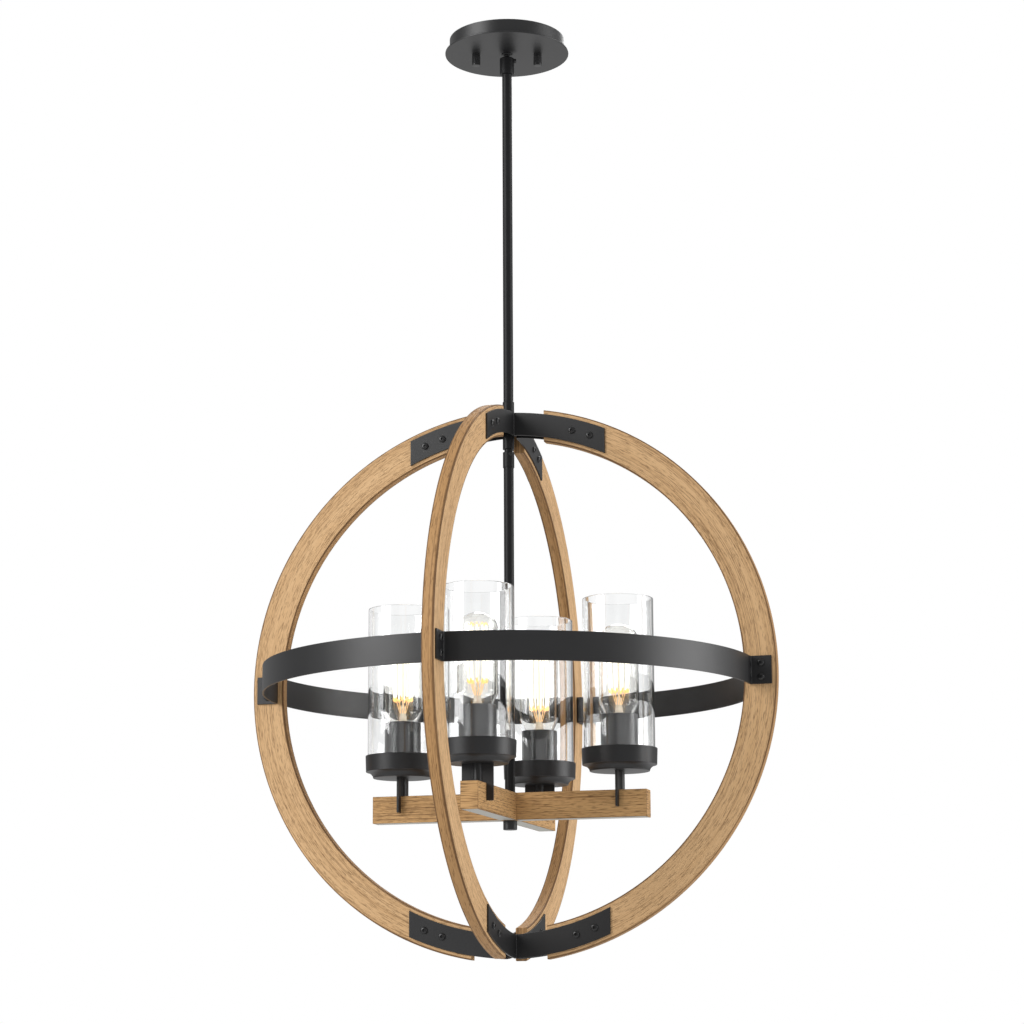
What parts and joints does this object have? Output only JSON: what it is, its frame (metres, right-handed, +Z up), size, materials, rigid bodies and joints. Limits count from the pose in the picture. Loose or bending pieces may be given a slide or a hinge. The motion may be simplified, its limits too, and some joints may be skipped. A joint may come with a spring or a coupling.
{
  "type": "orb chandelier",
  "caption": "Ceiling chandelier: a globe of bent wooden ribs with a metal band hangs on a rod and holds a wooden cross of glass-shaded lamps.",
  "frame": {"origin": "centre of the ceiling face, on the axis of the rod", "axes": "+Z up out of the ceiling face, +X along the right-hand rib, -Y along the front rib"},
  "size_m": [0.588, 0.588, 1.0327],
  "materials": {
    "black_steel": "satin",
    "zinc_steel": "satin",
    "oak": "matte",
    "clear_glass": "gloss",
    "bulb_glass": "gloss",
    "socket_plastic": "matte",
    "cover_strip": "satin"
  },
  "bodies": {
    "canopy": {"ceiling_strap": "zinc_steel", "canopy_studs": "zinc_steel", "knurled_nuts": "black_steel", "canopy_pan": "black_steel", "canopy_bush": "black_steel", "bush_nut": "zinc_steel"},
    "stem": {"swivel_stem": "black_steel", "stem_nut": "zinc_steel"},
    "orb": {"swivel_collar": "black_steel", "swivel_pin": "black_steel", "upper_rod": "black_steel", "hub_sleeve": "black_steel", "top_plate_back_right": "black_steel", "top_plate_back_left": "black_steel", "top_plate_front_left": "black_steel", "top_plate_front_right": "black_steel", "bottom_plate_back_right": "black_steel", "bottom_plate_back_left": "black_steel", "bottom_plate_front_left": "black_steel", "bottom_plate_front_right": "black_steel", "wood_rib_right": "oak", "wood_rib_back": "oak", "wood_rib_left": "oak", "wood_rib_front": "oak", "band_back_right": "black_steel", "band_back_left": "black_steel", "band_front_left": "black_steel", "band_front_right": "black_steel", "top_bracket_bolts": "black_steel", "bottom_bracket_bolts": "black_steel", "band_bolts": "black_steel", "knuckle_stem": "black_steel"},
    "lamp_cross": {"knuckle": "black_steel", "knuckle_pin": "black_steel", "lower_rod": "black_steel", "finial": "black_steel", "cross_beam_left_right": "oak", "cross_beam_front_back": "oak", "beam_covers": "cover_strip", "lamp_sockets": "socket_plastic", "fork_brackets": "black_steel", "socket_covers": "black_steel", "lamp_cup_right": "black_steel", "lamp_cup_back": "black_steel", "lamp_cup_left": "black_steel", "lamp_cup_front": "black_steel"},
    "shade_right": {"glass_shade_right": "clear_glass"},
    "lamp_right": {"bulb_right": "bulb_glass", "lamp_core_right": "zinc_steel"},
    "shade_back": {"glass_shade_back": "clear_glass"},
    "lamp_back": {"bulb_back": "bulb_glass", "lamp_core_back": "zinc_steel"},
    "shade_left": {"glass_shade_left": "clear_glass"},
    "lamp_left": {"bulb_left": "bulb_glass", "lamp_core_left": "zinc_steel"},
    "shade_front": {"glass_shade_front": "clear_glass"},
    "lamp_front": {"bulb_front": "bulb_glass", "lamp_core_front": "zinc_steel"}
  },
  "joints": [
    {"name": "canopy_turn", "type": "hinge", "parent": "canopy", "child": "stem", "pos_m": [0, 0, -0.0249], "axis": [0, 0, 1], "range_deg": [-170, 170]},
    {"name": "rod_tilt", "type": "hinge", "parent": "stem", "child": "orb", "pos_m": [0, 0, -0.0249], "axis": [0.9593, 0.2823, 0], "range_deg": [-25, 25]},
    {"name": "cross_tilt", "type": "hinge", "parent": "orb", "child": "lamp_cross", "pos_m": [0, 0, -0.4836], "axis": [0.5736, -0.8192, 0], "range_deg": [-6, 6]},
    {"name": "shade_right_lift", "type": "slide", "parent": "lamp_cross", "child": "shade_right", "axis": [0, 0, 1], "range_m": [0, 0.09]},
    {"name": "lamp_right_unscrew", "type": "slide", "parent": "lamp_cross", "child": "lamp_right", "axis": [0, 0, 1], "range_m": [0, 0.06]},
    {"name": "shade_back_lift", "type": "slide", "parent": "lamp_cross", "child": "shade_back", "axis": [0, 0, 1], "range_m": [0, 0.09]},
    {"name": "lamp_back_unscrew", "type": "slide", "parent": "lamp_cross", "child": "lamp_back", "axis": [0, 0, 1], "range_m": [0, 0.06]},
    {"name": "shade_left_lift", "type": "slide", "parent": "lamp_cross", "child": "shade_left", "axis": [0, 0, 1], "range_m": [0, 0.09]},
    {"name": "lamp_left_unscrew", "type": "slide", "parent": "lamp_cross", "child": "lamp_left", "axis": [0, 0, 1], "range_m": [0, 0.06]},
    {"name": "shade_front_lift", "type": "slide", "parent": "lamp_cross", "child": "shade_front", "axis": [0, 0, 1], "range_m": [0, 0.09]},
    {"name": "lamp_front_unscrew", "type": "slide", "parent": "lamp_cross", "child": "lamp_front", "axis": [0, 0, 1], "range_m": [0, 0.06]}
  ]
}
